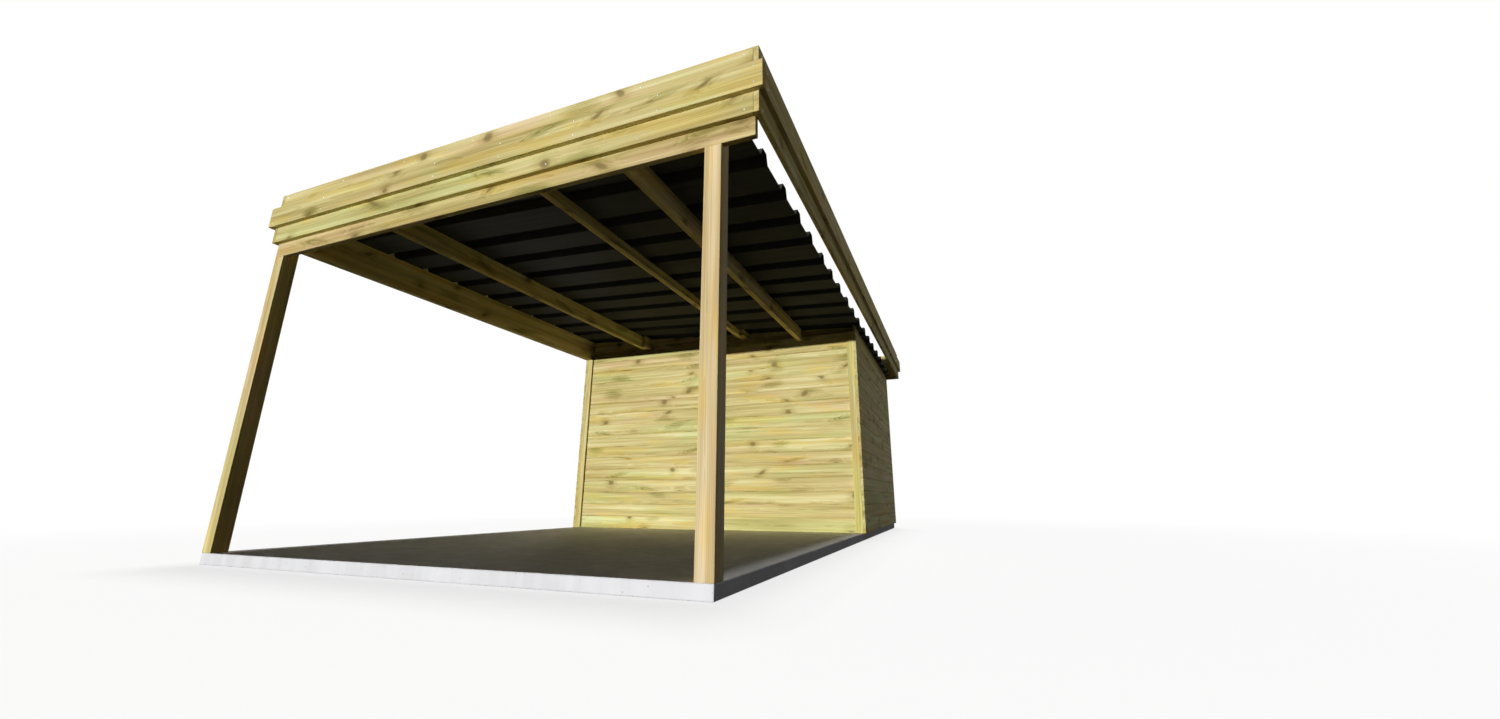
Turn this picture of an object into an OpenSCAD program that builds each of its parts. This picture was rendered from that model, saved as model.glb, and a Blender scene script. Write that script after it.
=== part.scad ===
// Timber carport with a low roof that falls to the right behind a level fascia:
// an open parking bay at the front and a closed store behind it, on one slab.
// X runs left to right seen from the front, Y runs front to back, Z up.
// The origin lies on the ground, at the middle of the overall outline.

/* [Slab] */
// Width of the slab, flush with the outer faces of the posts
slab_w = 3840; // [3000:10:5000]
// Depth of the slab, from the bay's entry to the back of the store
slab_d = 6710; // [5500:10:8000]
// Thickness of the slab above the ground
slab_h = 75; // [50:5:150]
// Depth of the open bay, from the entry to the front of the bay wall's posts
bay_d = 3820; // [3000:10:5000]

/* [Posts and beams] */
// Side of the square front posts
post = 100; // [80:5:140]
// Side of the square posts of the store
store_post = 80; // [60:5:100]
// Clear height of the bay's entry, from the slab to the front beam
clear_h = 2192; // [2000:1:2500]
// Thickness of the cross beams at the front, over the bay wall and at the rear
beam_t = 38; // [30:1:50]
// Height of the cross beams
beam_h = 168; // [140:1:220]
// How far the front beam, and the roof with it, runs past the slab on the right
beam_over = 195; // [140:5:300]
// Width of the left beam
left_beam_w = 75; // [60:1:95]
// Height of the left beam
left_beam_h = 275; // [240:1:300]

/* [Purlins] */
// Width of a purlin or joist
purlin_w = 56; // [40:1:80]
// Left face of the left purlin, from the slab's left edge
purlin_left_x = 935; // [600:1:1200]
// Left face of the middle purlin
purlin_middle_x = 2373; // [1600:1:2600]
// Length over which a purlin of the bay and one of the store lie side by side at the wall beam
purlin_lap = 424; // [200:1:700]
// Right face of the joist that hangs between the cross beams, from the slab's right edge
joist_in = 638; // [400:1:900]
// Height of the joist
joist_h = 153; // [120:1:180]

/* [Walls] */
// Thickness of the cladding boards
clad_t = 28; // [15:1:35]
// How far the bay wall's cladding lies behind the front of its posts
clad_inset = 20; // [0:1:30]

/* [Fascia] */
// Thickness of a fascia board
fascia_t = 32; // [22:1:40]
// Height of a fascia board
fascia_h = 165; // [140:1:200]
// How much of the front beam shows under the lower fascia board
beam_reveal = 114; // [60:1:150]
// How much of the boards above and below it the middle board covers
fascia_lap = 39; // [20:1:50]

/* [Roof sheets] */
// Fall of the roof, from the left edge of the sheets to their right edge
roof_fall = 210; // [120:1:240]
// How far the sheets run past the slab on the right, towards the drain gap
sheet_over = 85; // [40:1:120]
// Thickness of the profiled sheets
sheet_t = 2; // [1:0.5:4]
// Width that one sheet covers, from its first rib to the first rib of the next
sheet_cover = 1110; // [900:5:1200]
// Distance from one rib to the next within a sheet
rib_pitch = 353; // [280:1:365]
// Middle of the first rib, from the front edge of the slab
first_rib = 93; // [80:1:200]
// Height of a rib above the pan
rib_h = 62; // [30:1:80]
// Width of a rib at its foot
rib_base = 130; // [90:1:150]
// Width of a rib at its crest
rib_top = 64; // [30:1:80]
// Clearance round the edges of the sheets
sheet_clear = 3; // [1:0.5:10]
// Clearance at the foot of a rib that laps over the next sheet
lap_clear = 2.5; // [1.5:0.5:4]

/* [Hidden] */

// levels above the ground
beam_z = slab_h + clear_h;
beam_top = beam_z + beam_h;
sheet_z = beam_top + roof_fall;
left_beam_z = sheet_z - left_beam_h;
lower_z = beam_z + beam_reveal;
middle_z = lower_z + fascia_h - fascia_lap;
upper_z = middle_z + fascia_h - fascia_lap;

// roof outline: the inner layer of boards is fixed to the frame, the outer one on it
roof_w = slab_w + beam_over;
clad_y = bay_d + clad_inset;
wall_beam_y = bay_d + store_post;
purlin_bay_y = wall_beam_y + (beam_t + purlin_lap) / 2;
purlin_store_y = purlin_bay_y - purlin_lap;
joist_x = slab_w - joist_in - purlin_w;
mid_x = roof_w / 2;
mid_y = slab_d / 2;

// sheets: they rest on the cross beams at their right edge and on the left beam
sheet_count = 7;
sheet_ribs = 3;
sheet_w = slab_w + sheet_over;
fall_angle = atan(roof_fall / sheet_w);
sheet_y0 = sheet_clear;
sheet_y1 = slab_d - sheet_clear;

concrete = [0.72, 0.71, 0.68];
pine = [0.80, 0.72, 0.48];
pine_light = [0.84, 0.78, 0.55];
sheet_grey = [0.30, 0.31, 0.29];

// a box from its lowest corner, measured from the slab's left front corner
module box_at(x, y, z, size) {
    translate([x - mid_x, y - mid_y, z]) cube(size);
}

// a shape drawn in Y and Z, w thick along X
module along_x(x, w) {
    translate([x - mid_x, -mid_y, 0]) rotate([90, 0, 90]) linear_extrude(height = w) children();
}

// underside of the sheets at a distance x from the slab's left edge
function under_z(x) = sheet_z - roof_fall * x / sheet_w;

// a timber along Y from y0 to y1, its top cut to the fall of the roof
module under_sheets(x, w, y0, y1, z) {
    translate([-mid_x, y1 - mid_y, 0]) rotate([90, 0, 0]) linear_extrude(height = y1 - y0)
        polygon([[x, z], [x + w, z], [x + w, under_z(x + w)], [x, under_z(x)]]);
}

module base_slab() {
    color(concrete) box_at(0, 0, 0, [slab_w, slab_d, slab_h]);
}

// a corner post: its outer face is notched under the beam, the tongue behind rises past it
module notched_post(x, side, front) {
    y_out = front ? 0 : slab_d;
    dir = front ? 1 : -1;
    color(pine) along_x(x, side) polygon([
        [y_out, slab_h],
        [y_out + dir * side, slab_h],
        [y_out + dir * side, left_beam_z],
        [y_out + dir * beam_t, left_beam_z],
        [y_out + dir * beam_t, beam_z],
        [y_out, beam_z]]);
}

module front_post_left() {
    notched_post(0, post, true);
}

module front_post_right() {
    notched_post(slab_w - post, post, true);
}

module rear_post_left() {
    notched_post(clad_t, store_post, false);
}

module rear_post_right() {
    notched_post(slab_w - store_post, store_post, false);
}

module bay_post(x) {
    color(pine) box_at(x, bay_d, slab_h, [store_post, store_post, left_beam_z - slab_h]);
}

module bay_post_left() {
    bay_post(clad_t);
}

module bay_post_right() {
    bay_post(slab_w - store_post);
}

// a level beam across the building, in the notches of the posts or behind them
module cross_beam(x0, x1, y) {
    color(pine) box_at(x0, y, beam_z, [x1 - x0, beam_t, beam_h]);
}

module front_beam() {
    cross_beam(0, roof_w, 0);
}

module wall_beam() {
    cross_beam(left_beam_w, slab_w, wall_beam_y);
}

module rear_beam() {
    cross_beam(0, slab_w + clad_t, slab_d - beam_t);
}

module left_beam() {
    color(pine) under_sheets(0, left_beam_w, beam_t, slab_d - beam_t, left_beam_z);
}

// a board that stands on the wall beam and closes the store up to the sheets
module wall_infill(x0, x1) {
    color(pine) under_sheets(x0, x1 - x0, wall_beam_y, wall_beam_y + beam_t, beam_top);
}

module wall_infill_left() {
    wall_infill(left_beam_w, purlin_left_x);
}

module wall_infill_middle() {
    wall_infill(purlin_left_x + 2 * purlin_w, purlin_middle_x);
}

module wall_infill_right() {
    wall_infill(purlin_middle_x + 2 * purlin_w, slab_w);
}

// purlins lie on the cross beams; over the wall beam those of the store lie to the right
// of those of the bay
module bay_purlin(x) {
    color(pine) under_sheets(x, purlin_w, 0, purlin_bay_y, beam_top);
}

module store_purlin(x) {
    color(pine) under_sheets(x + purlin_w, purlin_w, purlin_store_y, slab_d, beam_top);
}

// joists hang between the cross beams, where the roof is too low for a purlin
module joist(y0, y1) {
    color(pine) under_sheets(joist_x, purlin_w, y0, y1, under_z(joist_x) - joist_h);
}

module bay_purlin_left() {
    bay_purlin(purlin_left_x);
}

module bay_purlin_middle() {
    bay_purlin(purlin_middle_x);
}

module bay_joist() {
    joist(beam_t, clad_y);
}

module store_purlin_left() {
    store_purlin(purlin_left_x);
}

module store_purlin_middle() {
    store_purlin(purlin_middle_x);
}

module store_joist() {
    joist(wall_beam_y + beam_t, slab_d - beam_t);
}

// cladding between the two bay posts, in front of the wall beam
module bay_wall() {
    color(pine_light) box_at(clad_t + store_post, clad_y, slab_h,
                             [slab_w - clad_t - 2 * store_post, clad_t, left_beam_z - slab_h]);
}

// cladding on the outside of the store's posts; the rear beam ends flush with it
// in a notch at its top rear corner
module side_wall(x, top) {
    color(pine_light) along_x(x, clad_t) polygon([
        [bay_d, slab_h],
        [slab_d, slab_h],
        [slab_d, beam_z],
        [slab_d - beam_t, beam_z],
        [slab_d - beam_t, top],
        [bay_d, top]]);
}

// stands on the slab, under the left beam
module store_left_wall() {
    side_wall(0, left_beam_z);
}

// hangs on the posts just outside the slab, and closes the end of the wall beam
module store_right_wall() {
    side_wall(slab_w, beam_top);
}

// covers the rear edges of both side walls, up to the fascia
module store_rear_wall() {
    color(pine_light) box_at(0, slab_d, slab_h, [slab_w + clad_t, clad_t, lower_z - slab_h]);
}

// the first sheet is cut before its second rib, so the ribs start one place on
function rib_y(i) = first_rib - rib_pitch + floor((i + 1) / sheet_ribs) * sheet_cover
                    + ((i + 1) % sheet_ribs) * rib_pitch;
function ribs_from(i) = rib_y(i) + rib_base / 2 > sheet_y1 ? 0 : 1 + ribs_from(i + 1);
rib_count = ribs_from(0);

// first rib of sheet k; each sheet after it keeps at least one rib
function start_rib(k) = k == 0 ? 0 : k == sheet_count ? rib_count
    : min(k * sheet_ribs - 1, rib_count - sheet_count + k);

// underside of a plain rib, and of one that laps over the rib of the next sheet
function rib_path(y) = [
    [y - rib_base / 2, 0], [y - rib_top / 2, rib_h],
    [y + rib_top / 2, rib_h], [y + rib_base / 2, 0]];
function lap_path(y) = [
    [y - rib_base / 2 - lap_clear, 0], [y - rib_top / 2, rib_h + sheet_t],
    [y + rib_top / 2, rib_h + sheet_t], [y + rib_base / 2, sheet_t]];

// underside of sheet k, from its front edge to its rear edge
function sheet_path(k) = concat(
    k == 0 ? [[sheet_y0, 0]] : [],
    [for (i = [start_rib(k) : start_rib(k + 1) - 1]) each rib_path(rib_y(i))],
    k < sheet_count - 1 ? lap_path(rib_y(start_rib(k + 1))) : [[sheet_y1, 0]]);

module roof_sheet(k) {
    under = sheet_path(k);
    last = len(under) - 1;
    over = [for (i = [0 : last]) under[last - i] + [0, sheet_t]];
    color(sheet_grey) translate([-mid_x, -mid_y, sheet_z]) rotate([0, fall_angle, 0])
        translate([sheet_clear, 0, 0]) rotate([90, 0, 90])
            linear_extrude(height = sheet_w / cos(fall_angle) - sheet_clear)
                polygon(concat(under, over));
}

module roof_sheet_1() {
    roof_sheet(0);
}

module roof_sheet_2() {
    roof_sheet(1);
}

module roof_sheet_3() {
    roof_sheet(2);
}

module roof_sheet_4() {
    roof_sheet(3);
}

module roof_sheet_5() {
    roof_sheet(4);
}

module roof_sheet_6() {
    roof_sheet(5);
}

module roof_sheet_7() {
    roof_sheet(6);
}

// inner boards: the side ones cover the ends of the front and rear ones
module inner_board_across(y, z) {
    color(pine_light) box_at(0, y, z, [roof_w, fascia_t, fascia_h]);
}

module inner_board_along(x, z) {
    color(pine_light) box_at(x, -fascia_t, z, [fascia_t, slab_d + 2 * fascia_t, fascia_h]);
}

// outer boards: the front and rear ones cover the ends of the side ones
module outer_board_across(y) {
    color(pine) box_at(-2 * fascia_t, y, middle_z, [roof_w + 4 * fascia_t, fascia_t, fascia_h]);
}

module outer_board_along(x) {
    color(pine) box_at(x, -fascia_t, middle_z, [fascia_t, slab_d + 2 * fascia_t, fascia_h]);
}

module front_fascia_lower() {
    inner_board_across(-fascia_t, lower_z);
}

module front_fascia_middle() {
    outer_board_across(-2 * fascia_t);
}

module front_fascia_upper() {
    inner_board_across(-fascia_t, upper_z);
}

module left_fascia_lower() {
    inner_board_along(-fascia_t, lower_z);
}

module left_fascia_middle() {
    outer_board_along(-2 * fascia_t);
}

module left_fascia_upper() {
    inner_board_along(-fascia_t, upper_z);
}

module right_fascia_lower() {
    inner_board_along(roof_w, lower_z);
}

module right_fascia_middle() {
    outer_board_along(roof_w + fascia_t);
}

module right_fascia_upper() {
    inner_board_along(roof_w, upper_z);
}

module rear_fascia_lower() {
    inner_board_across(slab_d, lower_z);
}

module rear_fascia_middle() {
    outer_board_across(slab_d + fascia_t);
}

module rear_fascia_upper() {
    inner_board_across(slab_d, upper_z);
}

base_slab();
front_post_left();
front_post_right();
bay_post_left();
bay_post_right();
rear_post_left();
rear_post_right();
front_beam();
wall_beam();
rear_beam();
left_beam();
wall_infill_left();
wall_infill_middle();
wall_infill_right();
bay_purlin_left();
bay_purlin_middle();
bay_joist();
store_purlin_left();
store_purlin_middle();
store_joist();
bay_wall();
store_left_wall();
store_right_wall();
store_rear_wall();
roof_sheet_1();
roof_sheet_2();
roof_sheet_3();
roof_sheet_4();
roof_sheet_5();
roof_sheet_6();
roof_sheet_7();
front_fascia_lower();
front_fascia_middle();
front_fascia_upper();
left_fascia_lower();
left_fascia_middle();
left_fascia_upper();
right_fascia_lower();
right_fascia_middle();
right_fascia_upper();
rear_fascia_lower();
rear_fascia_middle();
rear_fascia_upper();
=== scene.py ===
"""Looks of the carport: treated softwood, profiled roof sheets and a concrete slab.

Every timber is a copy of its solid with eased edges and its own run of grain, and each
clad wall is laid board by board. The row frame is in metres: X to the right, Y to the back.
"""

import math
import random

import bmesh
import bpy
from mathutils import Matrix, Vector


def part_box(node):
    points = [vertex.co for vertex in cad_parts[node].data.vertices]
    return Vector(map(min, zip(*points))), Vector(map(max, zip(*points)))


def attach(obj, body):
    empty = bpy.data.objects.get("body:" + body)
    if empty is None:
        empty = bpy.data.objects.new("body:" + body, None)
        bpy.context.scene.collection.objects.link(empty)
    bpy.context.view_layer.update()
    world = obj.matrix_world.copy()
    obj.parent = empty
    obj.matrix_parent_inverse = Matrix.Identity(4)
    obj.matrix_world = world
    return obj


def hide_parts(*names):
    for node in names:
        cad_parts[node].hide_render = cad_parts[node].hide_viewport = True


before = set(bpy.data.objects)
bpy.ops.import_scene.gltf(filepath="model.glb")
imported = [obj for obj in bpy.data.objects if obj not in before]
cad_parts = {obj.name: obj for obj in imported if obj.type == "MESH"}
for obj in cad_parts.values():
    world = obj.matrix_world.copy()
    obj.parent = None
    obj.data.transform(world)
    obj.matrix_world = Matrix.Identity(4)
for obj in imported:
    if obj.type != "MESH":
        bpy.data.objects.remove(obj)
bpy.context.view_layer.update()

BODY = "root"
X, Y, Z = 0, 1, 2
FRONT, BACK, LEFT, RIGHT = (Y, -1), (Y, 1), (X, -1), (X, 1)
chance = random.Random(7)

# Edges of the solids: angles in degrees, lengths in metres
WELD = 1e-5
FLAT_ANGLE = 1.0
SHARP_ANGLE = 20.0
EASED_EDGE = 0.003
SLAB_EDGE = 0.006

# Boards of the clad walls, in metres; one groove lies at GROOVE_LEVEL
BOARD_COVER = 0.149
BOARD_GROOVE = 0.006
GROOVE_LEVEL = 2.164

# Heads: share of the rise that is upright, share of the radius left on top, number of sides
HEAD_UPRIGHT = 0.6
HEAD_TOP = 0.72
HEAD_SIDES = 10
WASHER_SIDES = 14
HEX_SIDES = 6

# Nails and screws, in metres
NAIL_RADIUS = 0.0035
NAIL_RISE = 0.0012
NAIL_FROM_END = 0.045
NAIL_FROM_EDGE = 0.028
SCREW_RADIUS = 0.0045
SCREW_RISE = 0.0012
SCREW_STEP = 0.62
SCREW_FROM_END = 0.050
SCREW_FROM_EDGE = 0.032
WASHER_RADIUS = 0.011
WASHER_RISE = 0.003
HEX_RADIUS = 0.0055
HEX_RISE = 0.006

SHEET_COUNT = 7

# How near a point of a sheet lies to its end, to the crest and to a corner of it, in metres
SHEET_END_NEAR = 0.01
CREST_NEAR = 0.005
CORNER_NEAR = 0.001

# Grain, in metres; each timber is cut at a place of its own along a tree and beside its pith
TREE_LENGTH = 40.0
PITH_ACROSS = 0.05
PITH_DEEP = (0.03, 0.10)
RING_WIDTH = 0.0085
RING_SWAY = 0.085
RING_DRIFT = 0.045

# Knots and olive swirls, both of them blots, in metres; a bend is how far they push the rings
BLOT_ROW = 0.150
BLOT_GONE = 0.0005
KNOT_SPACING = 0.95
KNOT_RADIUS = 0.047
KNOT_BEND = 0.016
SWIRL_SPACING = 1.15
SWIRL_RADIUS = 0.060
SWIRL_BEND = 0.020

# Shares and ratios of the blots; a stretch is along the grain
BLOT_SCATTER = 0.95
BLOT_SLANT = 3.0
BLOT_LEAST = 0.55
KNOT_STRETCH = 1.1
SWIRL_STRETCH = 2.8
SWIRL_SHARE = 0.5

# Shifts that give narrow edges and swirls a pattern of their own, in metres
EDGE_SHIFT = 5.0
SWIRL_SHIFT = 3.7

# Grades of timber: tone, lean from pink at -1 to green at 1, and share of knots
CLADDING = (0.63, 0.05, 0.32)
FASCIA = (0.64, 0.05, 0.85)
BEAM = (0.48, -0.1, 0.80)
POST = (0.73, -0.85, 0.0)
STORE_POST = (0.62, 0.3, 0.0)
TONE_SPREAD = 0.06
HUE_SPREAD = 0.4

# What each face of a timber is told, and how squarely it faces to be an edge or an end
GRAIN_LAYERS = ("tone", "hue", "knots", "edge", "end")
EDGE_FACING = 0.7
END_FACING = 0.8

# Colours, linear
PINE_RAMP = ((0.0, (0.33, 0.265, 0.080)), (0.35, (0.55, 0.445, 0.175)),
             (0.60, (0.665, 0.565, 0.245)), (1.0, (0.86, 0.78, 0.42)))
PINE_GREEN = (0.92, 1.04, 0.98)
PINE_PINK = (1.05, 0.95, 1.12)
PINE_GOLD = (1.05, 0.98, 0.78)
PINE_KNOT = (0.235, 0.175, 0.065)
SHEET_DARK = (0.036, 0.038, 0.033)
SHEET_LIGHT = (0.058, 0.060, 0.052)
CONCRETE_PALE = (0.90, 0.90, 0.915)
CONCRETE_GREY = (0.76, 0.76, 0.77)
CONCRETE_PORE = (0.25, 0.25, 0.25)
ZINC = (0.55, 0.56, 0.57)
ZINC_DULL = (0.34, 0.34, 0.33)
FLOOR_PALE = (0.90, 0.90, 0.90)
FLOOR_BOUNCE = (0.02, 0.02, 0.02)
WHITE = (1.0, 1.0, 1.0)
BLACK = (0.0, 0.0, 0.0)

# Specular levels: all but the zinc are nearly matt
PINE_GLOSS = 0.02
SHEET_GLOSS = 0.015
CONCRETE_GLOSS = 0.015
PLAIN_GLOSS = 0.5
ZINC_METALLIC = 0.9

# Lamps: strength, the way the light travels, and its spread in degrees
LAMPS = {
    "key": (3.3, (0.454, 0.891, -0.006), 0.4),
    "from_above": (2.6, (0.0, -0.12, -1.0), 12.0),
    "rear_fill": (1.6, (0.55, -0.80, 0.0), 8.0),
    "right_fill": (0.45, (-0.45, -0.89, 0.0), 8.0),
}
SURROUND_STRENGTH = 0.015

# Floor: lengths in metres, and the share of it that takes shadow until the reach runs out
FLOOR_HALF_SIDE = 60.0
FLOOR_DROP = 0.002
FLOOR_SHADOW_REACH = (4.0, 11.0)
FLOOR_SHADOW_SHARE = 0.22

# Camera, fitted to the photograph
CAMERA_PLACE = (2.8435, -5.574, 0.4214)
CAMERA_TURN = (104.88, 0.0, 21.12)
CAMERA_LENS = 12.705
SENSOR_WIDTH = 36.0


class Graph:
    """One material's node tree, with a short call for each kind of node."""

    def __init__(self, tree):
        self.tree = tree
        tree.nodes.clear()

    def node(self, kind, **settings):
        made = self.tree.nodes.new(kind)
        for key, value in settings.items():
            setattr(made, key, value)
        return made

    def feed(self, socket, value):
        """Links an output to a socket, or sets a number, vector or colour on it."""
        if isinstance(value, bpy.types.NodeSocket):
            self.tree.links.new(value, socket)
        elif socket.type == "RGBA":
            socket.default_value = (*value, 1.0)
        else:
            socket.default_value = value

    def math(self, operation, *values):
        made = self.node("ShaderNodeMath", operation=operation)
        for socket, value in zip(made.inputs, values):
            self.feed(socket, value)
        return made.outputs[0]

    def centred(self, noise):
        """Noise as a swing to both sides of 0."""
        return self.math("SUBTRACT", noise, 0.5)

    def vector(self, operation, *values):
        made = self.node("ShaderNodeVectorMath", operation=operation)
        for socket, value in zip(made.inputs, values):
            self.feed(socket, value)
        return made.outputs["Value" if operation == "LENGTH" else "Vector"]

    def combine(self, x, y, z):
        made = self.node("ShaderNodeCombineXYZ")
        for socket, value in zip(made.inputs, (x, y, z)):
            self.feed(socket, value)
        return made.outputs[0]

    def split(self, vector):
        made = self.node("ShaderNodeSeparateXYZ")
        self.feed(made.inputs[0], vector)
        return made.outputs

    def attribute(self, name, output):
        return self.node("ShaderNodeAttribute", attribute_name=name).outputs[output]

    def place(self):
        return self.node("ShaderNodeTexCoord").outputs["Object"]

    def noise(self, vector, waves, detail=2.0):
        """Noise from 0 to 1, with so many waves to the metre along each axis."""
        made = self.node("ShaderNodeTexNoise")
        self.feed(made.inputs["Vector"], self.vector("MULTIPLY", vector, waves))
        self.feed(made.inputs["Scale"], 1.0)
        self.feed(made.inputs["Detail"], detail)
        return made.outputs["Fac"]

    def step(self, value, low, high):
        """0 at low, 1 at high, and smooth between them; low may be the larger."""
        made = self.node("ShaderNodeMapRange", interpolation_type="SMOOTHSTEP")
        for socket, given in zip(made.inputs, (value, low, high)):
            self.feed(socket, given)
        return made.outputs[0]

    def mix(self, factor, first, second, blend="MIX"):
        made = self.node("ShaderNodeMix", data_type="RGBA", blend_type=blend)
        self.feed(made.inputs[0], factor)
        self.feed(made.inputs[6], first)
        self.feed(made.inputs[7], second)
        return made.outputs[2]

    def ramp(self, value, stops):
        made = self.node("ShaderNodeValToRGB")
        points = made.color_ramp.elements
        while len(points) < len(stops):
            points.new(0.5)
        for point, (position, colour) in zip(points, stops):
            point.position = position
            point.color = (*colour, 1.0)
        self.feed(made.inputs[0], value)
        return made.outputs[0]

    def bump(self, height, strength, distance):
        made = self.node("ShaderNodeBump")
        self.feed(made.inputs["Height"], height)
        self.feed(made.inputs["Strength"], strength)
        self.feed(made.inputs["Distance"], distance)
        return made.outputs[0]

    def mix_shader(self, factor, first, second):
        made = self.node("ShaderNodeMixShader")
        for socket, value in zip(made.inputs, (factor, first, second)):
            self.feed(socket, value)
        return made.outputs[0]

    def output(self, shader, kind="ShaderNodeOutputMaterial"):
        self.feed(self.node(kind).inputs["Surface"], shader)

    def surface(self, colour, roughness, normal, gloss=PLAIN_GLOSS, metallic=0.0):
        shader = self.node("ShaderNodeBsdfPrincipled")
        self.feed(shader.inputs["Base Color"], colour)
        self.feed(shader.inputs["Roughness"], roughness)
        self.feed(shader.inputs["Normal"], normal)
        self.feed(shader.inputs["Specular IOR Level"], gloss)
        self.feed(shader.inputs["Metallic"], metallic)
        self.output(shader.outputs[0])


def new_material(name):
    material = bpy.data.materials.new(name)
    material.use_nodes = True
    return material, Graph(material.node_tree)


def blots(g, along, across, spacing, stretch, radius, share):
    """How far each point of a face lies from an oval blot, in radii of that blot.

    The blots lie at a share of scattered places, are slanted at random and have ragged rims.
    """
    row = g.math("DIVIDE", across, BLOT_ROW)
    place = g.combine(g.math("DIVIDE", along, spacing), row, 0.0)
    cells = g.node("ShaderNodeTexVoronoi", voronoi_dimensions="2D")
    g.feed(cells.inputs["Vector"], place)
    g.feed(cells.inputs["Scale"], 1.0)
    g.feed(cells.inputs["Randomness"], BLOT_SCATTER)
    apart = g.vector("SUBTRACT", place, cells.outputs["Position"])
    apart = g.vector("MULTIPLY", apart, (spacing / stretch, BLOT_ROW, 0.0))
    draw_share, draw_slant, draw_size = g.split(cells.outputs["Color"])[:3]
    length, height = g.split(apart)[:2]
    slant = g.math("MULTIPLY", g.centred(draw_slant), BLOT_SLANT)
    length = g.math("MULTIPLY_ADD", height, slant, length)
    distance = g.vector("LENGTH", g.combine(length, height, 0.0))
    ragged = g.noise(g.combine(along, across, draw_size), (14.0, 55.0, 9.0))
    size = g.math("MULTIPLY_ADD", draw_size, (1.0 - BLOT_LEAST) * radius, BLOT_LEAST * radius)
    size = g.math("MULTIPLY", size, g.math("LESS_THAN", draw_share, share))
    size = g.math("MULTIPLY", size, g.math("MULTIPLY_ADD", ragged, 0.9, 0.55))
    return g.math("DIVIDE", distance, g.math("MAXIMUM", size, BLOT_GONE))


def treated_pine():
    """Pale treated softwood: rings as a solid, streaks, knots, olive swirls, darker end grain."""
    material, g = new_material("treated_pine")
    grain = g.attribute("grain", "Vector")
    tone, hue, knots, edge, end = (g.attribute(name, "Fac") for name in GRAIN_LAYERS)
    along, across, deep = g.split(grain)
    to_edge = g.math("SUBTRACT", g.math("ADD", deep, EDGE_SHIFT), across)
    span = g.math("MULTIPLY_ADD", edge, to_edge, across)
    knot = blots(g, along, span, KNOT_SPACING, KNOT_STRETCH, KNOT_RADIUS, knots)
    swirls = g.math("MULTIPLY", g.math("GREATER_THAN", knots, 0.0), SWIRL_SHARE)
    shifted = g.math("ADD", along, SWIRL_SHIFT)
    swirl = blots(g, shifted, span, SWIRL_SPACING, SWIRL_STRETCH, SWIRL_RADIUS, swirls)

    sway = g.math("MULTIPLY", g.centred(g.noise(grain, (0.55, 2.0, 2.0))), RING_SWAY)
    drift = g.math("MULTIPLY", g.centred(g.noise(grain, (1.3, 3.0, 3.0))), RING_DRIFT)
    from_pith = g.combine(0.0, g.math("ADD", across, sway), g.math("ADD", deep, drift))
    radius = g.vector("LENGTH", from_pith)
    radius = g.math("MULTIPLY_ADD", g.step(knot, 4.0, 0.0), KNOT_BEND, radius)
    radius = g.math("MULTIPLY_ADD", g.step(swirl, 1.6, 0.0), SWIRL_BEND, radius)
    rings = g.math("FRACT", g.math("DIVIDE", radius, RING_WIDTH))
    late = g.math("POWER", rings, 3.0)
    fine = g.noise(grain, (3.0, 240.0, 240.0), 3.0)
    streak = g.noise(grain, (0.9, 42.0, 42.0), 3.0)
    wide = g.noise(g.vector("ADD", grain, (5.0, 9.0, 3.0)), (0.6, 13.0, 13.0))
    cloud = g.noise(grain, (1.4, 8.0, 8.0))
    warm = g.noise(g.vector("ADD", grain, (2.0, 1.0, 7.0)), (1.6, 10.0, 10.0))

    # The tone swings with the streaks, and falls in late wood, swirls and around knots
    level = tone
    for pattern, swing in ((wide, 1.45), (streak, 0.80), (fine, 0.40)):
        level = g.math("MULTIPLY_ADD", g.centred(pattern), swing, level)
    olive = g.math("MULTIPLY", g.step(swirl, 1.3, 0.3), g.math("MULTIPLY_ADD", rings, 0.6, 0.4))
    for pattern, fall in ((late, -0.20), (olive, -0.50), (g.step(knot, 2.8, 0.9), -0.22)):
        level = g.math("MULTIPLY_ADD", pattern, fall, level)
    colour = g.ramp(level, PINE_RAMP)

    # The hue leans in clouds, and swirls are greener
    leaning = g.math("MULTIPLY_ADD", g.centred(cloud), 2.6, hue)
    leaning = g.math("MULTIPLY_ADD", olive, 0.6, leaning)
    tints = ((g.step(leaning, 0.1, 0.8), PINE_GREEN),
             (g.step(leaning, -0.1, -0.8), PINE_PINK),
             (g.step(warm, 0.50, 0.66), PINE_GOLD))
    for amount, tint in tints:
        colour = g.mix(1.0, colour, g.mix(amount, WHITE, tint), "MULTIPLY")
    colour = g.mix(g.math("MULTIPLY", g.step(knot, 1.15, 0.35), 0.80), colour, PINE_KNOT)
    colour = g.mix(g.math("MULTIPLY", end, 0.10), colour, BLACK)

    height = g.math("ADD", g.math("MULTIPLY", late, 0.5), fine)
    roughness = g.math("MULTIPLY_ADD", late, -0.10, 0.72)
    g.surface(colour, roughness, g.bump(height, 0.35, 0.0006), PINE_GLOSS)
    return material


def profiled_sheet():
    """Dark coated steel: a satin coat with faint clouding and run marks down the fall."""
    material, g = new_material("profiled_sheet")
    place = g.place()
    cloud = g.noise(place, (1.6, 2.4, 2.0), 4.0)
    runs = g.noise(place, (0.8, 34.0, 8.0), 3.0)
    coat = g.noise(place, (420.0, 420.0, 420.0), 1.0)
    blend = g.math("MULTIPLY_ADD", runs, 0.45, g.math("MULTIPLY", cloud, 0.65))
    colour = g.mix(g.step(blend, 0.30, 0.80), SHEET_DARK, SHEET_LIGHT)
    roughness = g.math("MULTIPLY_ADD", cloud, 0.18, 0.40)
    g.surface(colour, roughness, g.bump(coat, 0.10, 0.0003), SHEET_GLOSS)
    return material


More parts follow.
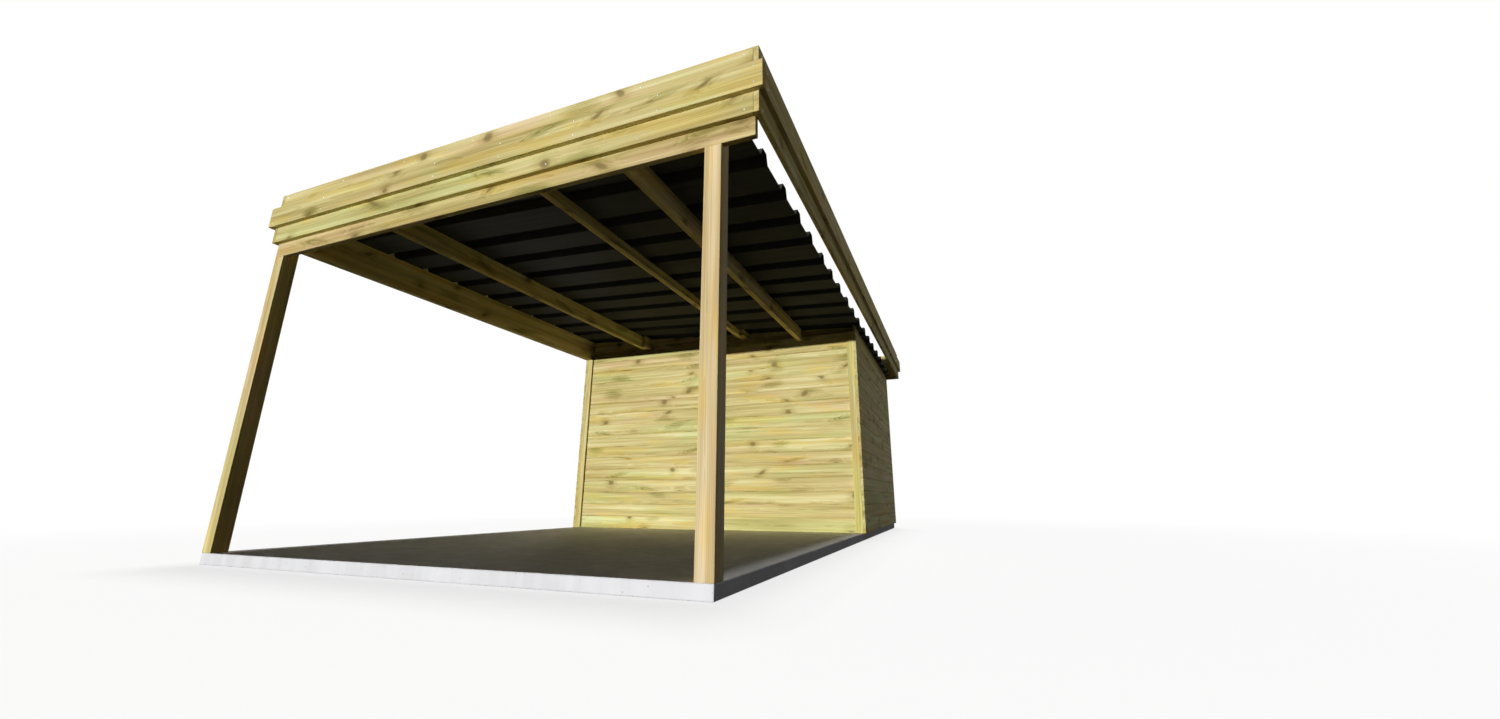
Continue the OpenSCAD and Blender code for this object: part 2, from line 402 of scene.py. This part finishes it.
def concrete():
    """Pale floated concrete with clouding, upright form marks, pores and fine grit."""
    material, g = new_material("concrete")
    place = g.place()
    cloud = g.noise(place, (1.4, 1.4, 3.0), 5.0)
    marks = g.noise(place, (9.0, 9.0, 1.2), 3.0)
    grit = g.noise(place, (260.0, 260.0, 260.0))
    pores = g.node("ShaderNodeTexVoronoi")
    g.feed(pores.inputs["Vector"], place)
    g.feed(pores.inputs["Scale"], 38.0)
    pore = g.step(pores.outputs["Distance"], 0.16, 0.08)
    rare = g.step(g.split(pores.outputs["Color"])[0], 0.70, 0.74)
    pore = g.math("MULTIPLY", pore, rare)
    blend = g.math("MULTIPLY_ADD", marks, 0.55, g.math("MULTIPLY", cloud, 0.55))
    colour = g.mix(g.step(blend, 0.36, 0.74), CONCRETE_PALE, CONCRETE_GREY)
    speck = g.math("MULTIPLY", g.step(grit, 0.60, 0.80), 0.25)
    colour = g.mix(speck, colour, CONCRETE_GREY)
    colour = g.mix(g.math("MULTIPLY", pore, 0.6), colour, CONCRETE_PORE)
    height = g.math("SUBTRACT", g.math("MULTIPLY", grit, 0.5), pore)
    g.surface(colour, 0.88, g.bump(height, 0.4, 0.001), CONCRETE_GLOSS)
    return material


def zinc():
    """Bright zinc on nails, screws and washers, slightly dulled in patches."""
    material, g = new_material("zinc")
    dull = g.noise(g.place(), (300.0, 300.0, 300.0), 3.0)
    colour = g.mix(g.step(dull, 0.35, 0.75), ZINC, ZINC_DULL)
    roughness = g.math("MULTIPLY_ADD", dull, 0.30, 0.30)
    g.surface(colour, roughness, g.bump(dull, 0.2, 0.0002), metallic=ZINC_METALLIC)
    return material


PINE_WOOD = treated_pine()
COATED_STEEL = profiled_sheet()
PALE_CONCRETE = concrete()
BRIGHT_ZINC = zinc()


def new_piece(name, shape, material):
    """Makes an object of a bmesh, in place in the row frame, riding on the part."""
    mesh = bpy.data.meshes.new(name)
    shape.to_mesh(mesh)
    shape.free()
    mesh.materials.append(material)
    piece = bpy.data.objects.new(name, mesh)
    bpy.context.scene.collection.objects.link(piece)
    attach(piece, BODY)
    return piece


def new_timber_shape():
    """An empty shape with the layers that the grain is written to."""
    shape = bmesh.new()
    shape.verts.layers.float_vector.new("grain")
    for name in GRAIN_LAYERS:
        shape.faces.layers.float.new(name)
    return shape


def add_solid(shape, node):
    """Adds the node's solid as whole flat faces, without the seams of its triangles."""
    shape.from_mesh(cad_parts[node].data)
    bmesh.ops.remove_doubles(shape, verts=shape.verts, dist=WELD)
    bmesh.ops.dissolve_limit(shape, angle_limit=math.radians(FLAT_ANGLE),
                             verts=shape.verts, edges=shape.edges)


def ease_edges(shape, width):
    """Rounds the outward edges, as a plane or a float leaves them."""
    least = math.radians(SHARP_ANGLE)
    sharp = [e for e in shape.edges if e.is_convex and e.calc_face_angle(0.0) > least]
    bmesh.ops.bevel(shape, geom=sharp, offset=width, segments=2, profile=0.5,
                    affect="EDGES", clamp_overlap=True)


def add_grain(shape, faces, axis, grade):
    """Gives the faces of one timber their run of grain along an axis, from a tree of their own."""
    grain = shape.verts.layers.float_vector["grain"]
    tone, hue, knots, edge, end = (shape.faces.layers.float[name] for name in GRAIN_LAYERS)
    others = [i for i in (X, Y, Z) if i != axis]
    verts = list(dict.fromkeys(v for f in faces for v in f.verts))
    middle = sum((v.co for v in verts), Vector()) / len(verts)
    spans = {i: max(v.co[i] for v in verts) - min(v.co[i] for v in verts) for i in others}
    across, deep = sorted(others, key=lambda i: -spans[i])
    start = chance.uniform(0.0, TREE_LENGTH)
    pith_across = chance.uniform(-PITH_ACROSS, PITH_ACROSS)
    pith_deep = chance.choice((-1, 1)) * chance.uniform(*PITH_DEEP)
    shade, lean, knotty = grade
    shade += chance.uniform(-TONE_SPREAD, TONE_SPREAD)
    lean += chance.uniform(-HUE_SPREAD, HUE_SPREAD)
    for v in verts:
        local = v.co - middle
        v[grain] = (local[axis] + start, local[across] + pith_across, local[deep] + pith_deep)
    for f in faces:
        f[tone] = shade
        f[hue] = lean
        f[knots] = knotty
        f[edge] = 1.0 if abs(f.normal[across]) > EDGE_FACING else 0.0
        f[end] = 1.0 if abs(f.normal[axis]) > END_FACING else 0.0


def timber(node, axis, grade):
    """A planed timber that stands for its node."""
    shape = new_timber_shape()
    add_solid(shape, node)
    ease_edges(shape, EASED_EDGE)
    add_grain(shape, list(shape.faces), axis, grade)
    piece = new_piece(node + "_planed", shape, PINE_WOOD)
    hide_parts(node)


def on_face(outward, along_place, depth, level):
    """A point of an upright face: its place along the face, its depth and its level."""
    point = Vector((0.0, 0.0, level))
    point[1 - outward] = along_place
    point[outward] = depth
    return point


def facing(outward, side):
    """The direction that an upright face looks in."""
    normal = Vector()
    normal[outward] = side
    return normal


def board(shape, runs, depths, outward):
    """One cladding board, with its outer long edges taken off for the groove.

    It is made of runs, each from one end to the other and from a bottom to a top level.
    """
    inner, outer = depths
    groove = math.copysign(BOARD_GROOVE, outer - inner)
    faces = []
    for start, stop, bottom, top in runs:
        profile = [(inner, bottom), (outer - groove, bottom), (outer, bottom + BOARD_GROOVE),
                   (outer, top - BOARD_GROOVE), (outer - groove, top), (inner, top)]
        near, far = ([shape.verts.new(on_face(outward, end, depth, level))
                      for depth, level in profile] for end in (start, stop))
        faces += [shape.faces.new(near), shape.faces.new(far)]
        for i in range(len(profile)):
            j = (i + 1) % len(profile)
            faces.append(shape.faces.new((near[i], near[j], far[j], far[i])))
    bmesh.ops.recalc_face_normals(shape, faces=faces)
    add_grain(shape, faces, 1 - outward, CLADDING)


def board_runs(start, stop, bottom, top, beam):
    """A board's runs: it stops at the rear beam, and passes under it as far as there is room."""
    if beam is None or top <= beam.z:
        return [(start, stop, bottom, top)]
    runs = [(start, beam.y, bottom, top)]
    if beam.z - bottom > 2 * BOARD_GROOVE:
        runs.append((beam.y, stop, bottom, beam.z))
    return runs


def board_levels(low, high):
    """The levels of the grooves between two levels, with both of them."""
    level = GROOVE_LEVEL - BOARD_COVER * math.floor((GROOVE_LEVEL - low) / BOARD_COVER)
    levels = [low]
    while level < high - 2 * BOARD_GROOVE:
        if level > low + 2 * BOARD_GROOVE:
            levels.append(level)
        level += BOARD_COVER
    return levels + [high]


def stud(shape, centre, normal, radius, rise, sides=HEAD_SIDES):
    """A low round or six-sided head standing on a face."""
    turn = normal.to_track_quat("Z", "X")
    rims = []
    for level, reach in ((0.0, radius), (rise * HEAD_UPRIGHT, radius), (rise, radius * HEAD_TOP)):
        rim = []
        for k in range(sides):
            angle = math.tau * k / sides
            offset = Vector((reach * math.cos(angle), reach * math.sin(angle), level))
            rim.append(shape.verts.new(centre + turn @ offset))
        rims.append(rim)
    for lower, upper in zip(rims, rims[1:]):
        for k in range(sides):
            m = (k + 1) % sides
            shape.faces.new((lower[k], lower[m], upper[m], upper[k]))
    shape.faces.new(rims[-1])
    shape.faces.new(list(reversed(rims[0])))


def clad_wall(node, outward, side, nails, beam=None):
    """Level boards over the whole wall, with nails near both ends of each.

    The boards are notched for a beam, which is given by its lower front corner.
    """
    low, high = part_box(node)
    along = 1 - outward
    depths = (low[outward], high[outward])[::side]
    normal = facing(outward, side)
    shape = new_timber_shape()
    levels = board_levels(low.z, high.z)
    for bottom, top in zip(levels, levels[1:]):
        runs = board_runs(low[along], high[along], bottom, top, beam)
        board(shape, runs, depths, outward)
        start, stop = runs[0][:2]
        rows = (bottom + NAIL_FROM_EDGE, top - NAIL_FROM_EDGE)
        if rows[1] - rows[0] <= NAIL_FROM_EDGE:
            rows = ((bottom + top) / 2,)
        for end in (start + NAIL_FROM_END, stop - NAIL_FROM_END):
            for level in rows:
                stud(nails, on_face(outward, end, depths[1], level), normal,
                     NAIL_RADIUS, NAIL_RISE)
    piece = new_piece(node + "_boards", shape, PINE_WOOD)
    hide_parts(node)


def screw_fascia(node, outward, side, screws):
    """Two rows of screws along a fascia board."""
    low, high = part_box(node)
    along = 1 - outward
    face = high[outward] if side > 0 else low[outward]
    normal = facing(outward, side)
    length = high[along] - low[along] - 2 * SCREW_FROM_END
    count = max(2, round(length / SCREW_STEP) + 1)
    for k in range(count):
        place = low[along] + SCREW_FROM_END + length * k / (count - 1)
        for level in (low.z + SCREW_FROM_EDGE, high.z - SCREW_FROM_EDGE):
            stud(screws, on_face(outward, place, face, level), normal, SCREW_RADIUS, SCREW_RISE)


def crests(node):
    """The middle lines of a sheet's ribs, each as its left and right end on top of the crest."""
    points = [v.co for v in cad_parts[node].data.vertices]
    low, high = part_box(node)
    left = [p for p in points if abs(p.x - low.x) < SHEET_END_NEAR]
    right = [p for p in points if abs(p.x - high.x) < SHEET_END_NEAR]
    peak = max(p.z for p in left)
    corners = sorted({round(p.y, 3) for p in left if p.z > peak - CREST_NEAR})
    lines = []
    for near, far in zip(corners[::2], corners[1::2]):
        tops = [max(p.z for p in edge if abs(p.y - near) < CORNER_NEAR) for edge in (left, right)]
        middle = (near + far) / 2
        lines.append((Vector((low.x, middle, tops[0])), Vector((high.x, middle, tops[1]))))
    return lines


def roof_screws():
    """A screw with a washer on every rib, above each timber that carries it.

    The first rib of a sheet lies under the last one of the sheet before it, which takes
    the screw.
    """
    carriers = [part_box(node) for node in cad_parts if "purlin" in node or "joist" in node]
    carriers.append(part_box("left_beam"))
    shape = bmesh.new()
    for k in range(SHEET_COUNT):
        lapped = min(k, 1)
        for left, right in crests(f"roof_sheet_{k + 1}")[lapped:]:
            run = (right - left).normalized()
            normal = run.cross(Vector((0.0, 1.0, 0.0))).normalized()
            for low, high in carriers:
                if not low.y < left.y < high.y:
                    continue
                x = (low.x + high.x) / 2
                centre = left + run * ((x - left.x) / run.x)
                stud(shape, centre, normal, WASHER_RADIUS, WASHER_RISE, WASHER_SIDES)
                centre += normal * WASHER_RISE
                stud(shape, centre, normal, HEX_RADIUS, HEX_RISE, HEX_SIDES)
    new_piece("roof_screws", shape, BRIGHT_ZINC)


def dress_nodes():
    """Planed timbers for the frame and the fascia, and the coat of the roof sheets."""
    for node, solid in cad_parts.items():
        if node.startswith("front_post"):
            timber(node, Z, POST)
        elif "_post_" in node:
            timber(node, Z, STORE_POST)
        elif node in ("front_beam", "wall_beam", "rear_beam") or "infill" in node:
            timber(node, X, BEAM)
        elif node == "left_beam" or "purlin" in node or "joist" in node:
            timber(node, Y, BEAM)
        elif node.startswith(("front_fascia", "rear_fascia")):
            timber(node, X, FASCIA)
        elif node.startswith(("left_fascia", "right_fascia")):
            timber(node, Y, FASCIA)
        elif node.startswith("roof_sheet"):
            solid.data.materials.clear()
            solid.data.materials.append(COATED_STEEL)


def fascia_screws():
    """The screws of all fascia boards, as one piece."""
    screws = bmesh.new()
    for layer in ("lower", "middle", "upper"):
        screw_fascia("front_fascia_" + layer, *FRONT, screws)
        screw_fascia("rear_fascia_" + layer, *BACK, screws)
        screw_fascia("left_fascia_" + layer, *LEFT, screws)
        screw_fascia("right_fascia_" + layer, *RIGHT, screws)
    new_piece("fascia_screws", screws, BRIGHT_ZINC)


def clad_walls():
    """The four walls of the store, and all their nails as one piece."""
    nails = bmesh.new()
    rear_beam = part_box("rear_beam")[0]
    clad_wall("bay_wall", *FRONT, nails)
    clad_wall("store_left_wall", *LEFT, nails, rear_beam)
    clad_wall("store_right_wall", *RIGHT, nails, rear_beam)
    clad_wall("store_rear_wall", *BACK, nails)
    new_piece("cladding_nails", nails, BRIGHT_ZINC)


def floated_slab():
    """The slab, with edges rounded by the float."""
    shape = bmesh.new()
    add_solid(shape, "base_slab")
    ease_edges(shape, SLAB_EDGE)
    slab = new_piece("floated_slab", shape, PALE_CONCRETE)
    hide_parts("base_slab")


def seen_directly(g):
    """1 for what the camera, a reflection or a clear material looks at, 0 for bounced light."""
    path = g.node("ShaderNodeLightPath")
    looks = g.math("MAXIMUM", path.outputs["Is Camera Ray"], path.outputs["Is Glossy Ray"])
    return g.math("MAXIMUM", looks, path.outputs["Is Transmission Ray"])


def pale_floor():
    """A floor that keeps the shadow near the part and runs out to white."""
    shape = bmesh.new()
    bmesh.ops.create_grid(shape, x_segments=1, y_segments=1, size=FLOOR_HALF_SIDE)
    mesh = bpy.data.meshes.new("floor")
    shape.to_mesh(mesh)
    shape.free()
    floor = bpy.data.objects.new("floor", mesh)
    floor.location.z = -FLOOR_DROP
    bpy.context.scene.collection.objects.link(floor)
    material, g = new_material("floor_pale")
    mesh.materials.append(material)
    seen = seen_directly(g)
    diffuse = g.node("ShaderNodeBsdfDiffuse")
    g.feed(diffuse.inputs["Color"], g.mix(seen, FLOOR_BOUNCE, FLOOR_PALE))
    glow = g.node("ShaderNodeEmission")
    g.feed(glow.inputs["Color"], WHITE)
    away = g.step(g.vector("LENGTH", g.place()), *FLOOR_SHADOW_REACH)
    white = g.math("MULTIPLY_ADD", away, FLOOR_SHADOW_SHARE, 1.0 - FLOOR_SHADOW_SHARE)
    white = g.math("MULTIPLY", white, seen)
    g.output(g.mix_shader(white, diffuse.outputs[0], glow.outputs[0]))


def white_surround():
    """A world that looks white and gives only a little light."""
    world = bpy.data.worlds.new("surround")
    world.use_nodes = True
    bpy.context.scene.world = world
    g = Graph(world.node_tree)
    soft = g.node("ShaderNodeBackground")
    g.feed(soft.inputs["Color"], WHITE)
    g.feed(soft.inputs["Strength"], SURROUND_STRENGTH)
    white = g.node("ShaderNodeBackground")
    g.feed(white.inputs["Color"], WHITE)
    mixed = g.mix_shader(seen_directly(g), soft.outputs[0], white.outputs[0])
    g.output(mixed, "ShaderNodeOutputWorld")


def lamps():
    """Far lamps: a low key from the left front, soft light from above, and two rear fills."""
    for name, (strength, travels, spread) in LAMPS.items():
        lamp = bpy.data.lights.new(name, "SUN")
        lamp.energy = strength
        lamp.angle = math.radians(spread)
        holder = bpy.data.objects.new(name, lamp)
        holder.rotation_euler = Vector(travels).to_track_quat("-Z", "Y").to_euler()
        bpy.context.scene.collection.objects.link(holder)


def camera():
    """The photograph's standpoint: low, at the right front, with a wide lens tilted up."""
    lens = bpy.data.cameras.new("camera")
    lens.sensor_fit = "HORIZONTAL"
    lens.sensor_width = SENSOR_WIDTH
    lens.lens = CAMERA_LENS
    lens.dof.use_dof = False
    holder = bpy.data.objects.new("camera", lens)
    holder.location = CAMERA_PLACE
    holder.rotation_euler = [math.radians(angle) for angle in CAMERA_TURN]
    bpy.context.scene.collection.objects.link(holder)
    bpy.context.scene.camera = holder


dress_nodes()
fascia_screws()
roof_screws()
clad_walls()
floated_slab()
pale_floor()
white_surround()
lamps()
camera()
bpy.context.scene.view_settings.view_transform = "Standard"
